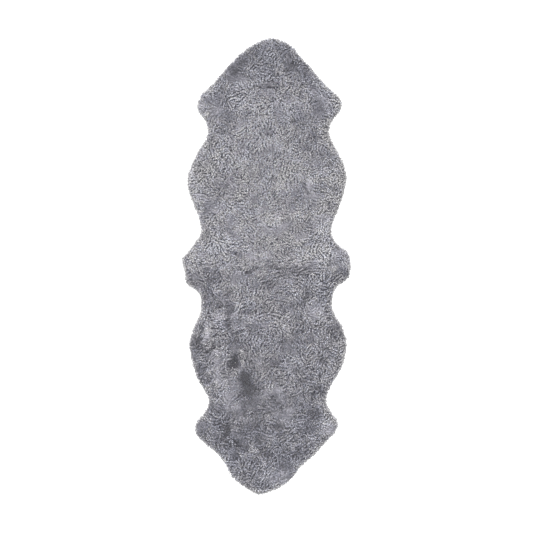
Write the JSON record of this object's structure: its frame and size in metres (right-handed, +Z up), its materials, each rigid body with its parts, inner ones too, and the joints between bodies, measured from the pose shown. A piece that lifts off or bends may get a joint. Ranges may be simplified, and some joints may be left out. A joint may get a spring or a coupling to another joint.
{
  "type": "sheepskin rug",
  "caption": "Flat rug of sheepskin pelts sewn end to end: short curly wool on a thin tanned hide, with the uneven outline of the pelts.",
  "frame": {"origin": "on the floor, under the middle of the rug", "axes": "+X to the right across the rug, +Y along its length towards the neck of the far pelt, +Z up out of the wool"},
  "size_m": [0.6662, 1.798, 0.0261],
  "materials": {
    "hide": "suede, matt",
    "wool": "curly wool, matt"
  },
  "bodies": {
    "root": {"hide_far": "hide", "hide_near": "hide", "fleece_far": "wool", "fleece_near": "wool"}
  },
  "joints": []
}
